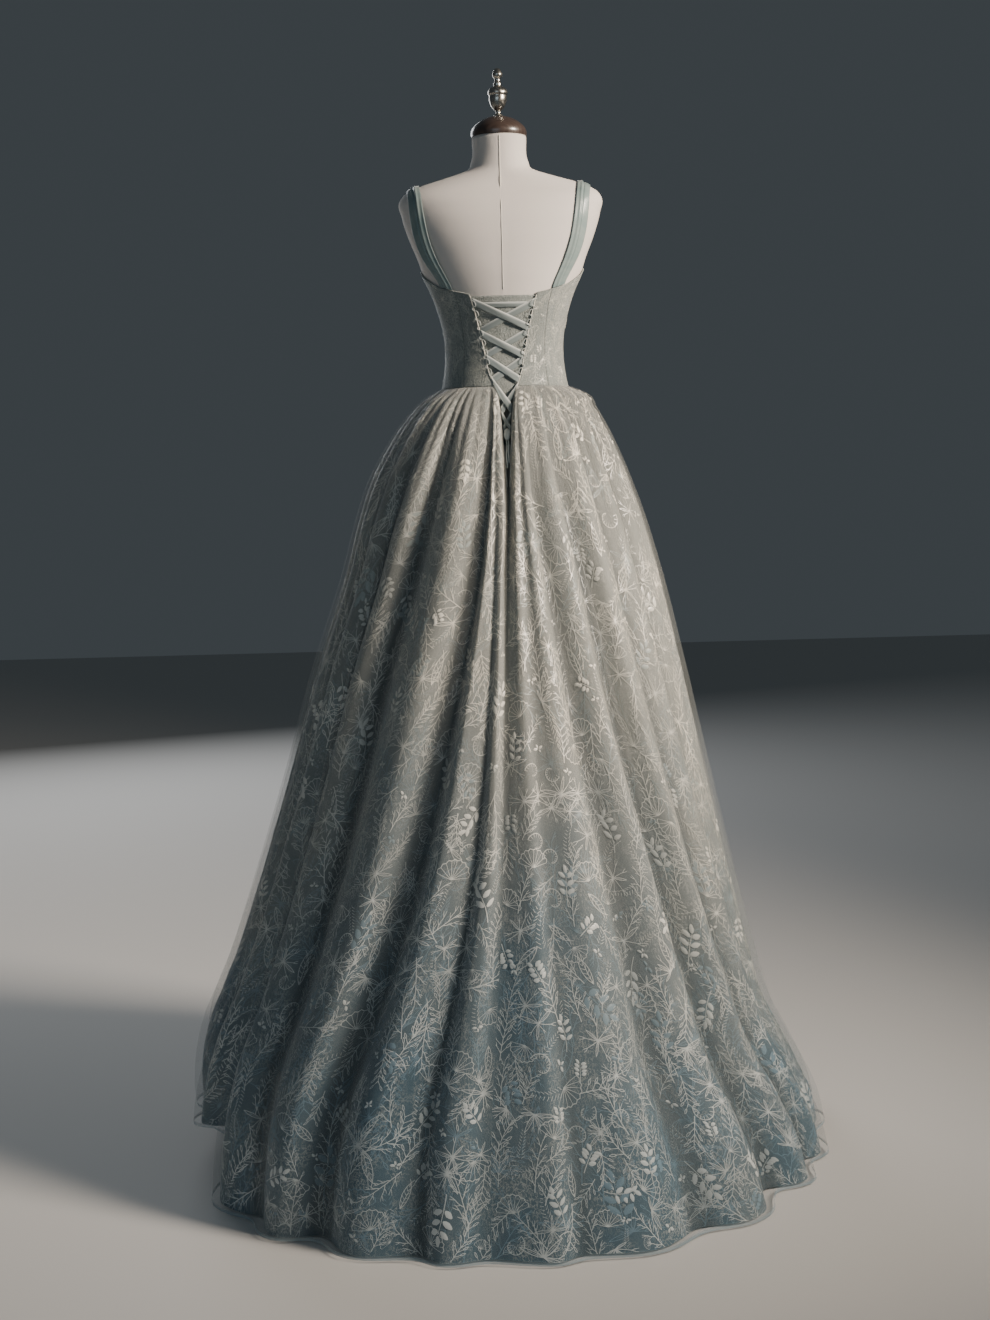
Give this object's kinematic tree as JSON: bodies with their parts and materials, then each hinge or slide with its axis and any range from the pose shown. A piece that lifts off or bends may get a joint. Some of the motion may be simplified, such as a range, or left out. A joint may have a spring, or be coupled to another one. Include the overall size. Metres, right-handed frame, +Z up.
{
  "type": "a-line gown on a limbless dress form with a round stand",
  "caption": "A-line gown with a fitted bodice laced at the back, satin shoulder straps and a full gathered lace skirt under sheer tulle, worn on a dress form on a round stand.",
  "frame": {"origin": "centre of the stand base's underside, on the floor", "axes": "+Z up along the pole; +Y out of the laced back, -Y out of the front; +X to the wearer's left"},
  "size_m": [1.1161, 1.0655, 1.857],
  "materials": {
    "canvas": "matte",
    "dark_wood": "satin",
    "pewter": "satin",
    "painted_steel": "satin",
    "satin_ribbon": "satin",
    "bodice_lace": "matte",
    "skirt_lace": "matte",
    "tulle": "sheer",
    "loop_cord": "satin"
  },
  "bodies": {
    "root": {"bodice_back_left": "bodice_lace", "bodice_back_right": "bodice_lace", "bodice_front": "bodice_lace", "bodice_side_back_left": "bodice_lace", "bodice_side_back_right": "bodice_lace", "bodice_side_front_left": "bodice_lace", "bodice_side_front_right": "bodice_lace", "form_base": "painted_steel", "form_collar": "painted_steel", "form_finial": "pewter", "form_neck_cap": "dark_wood", "form_pole": "painted_steel", "form_torso": "canvas", "lacing_bar": "satin_ribbon", "lacing_knot": "satin_ribbon", "lacing_over_1": "satin_ribbon", "lacing_over_2": "satin_ribbon", "lacing_over_3": "satin_ribbon", "lacing_over_4": "satin_ribbon", "lacing_over_5": "satin_ribbon", "lacing_tail_left": "satin_ribbon", "lacing_tail_right": "satin_ribbon", "lacing_under_1": "satin_ribbon", "lacing_under_2": "satin_ribbon", "lacing_under_3": "satin_ribbon", "lacing_under_4": "satin_ribbon", "lacing_under_5": "satin_ribbon", "loops_left": "loop_cord", "loops_right": "loop_cord", "modesty_panel": "bodice_lace", "overlay_back_left": "tulle", "overlay_back_right": "tulle", "overlay_front": "tulle", "overlay_side_left": "tulle", "overlay_side_right": "tulle", "skirt_back_left": "skirt_lace", "skirt_back_right": "skirt_lace", "skirt_front": "skirt_lace", "skirt_side_left": "skirt_lace", "skirt_side_right": "skirt_lace", "strap_left": "satin_ribbon", "strap_right": "satin_ribbon"}
  },
  "joints": []
}
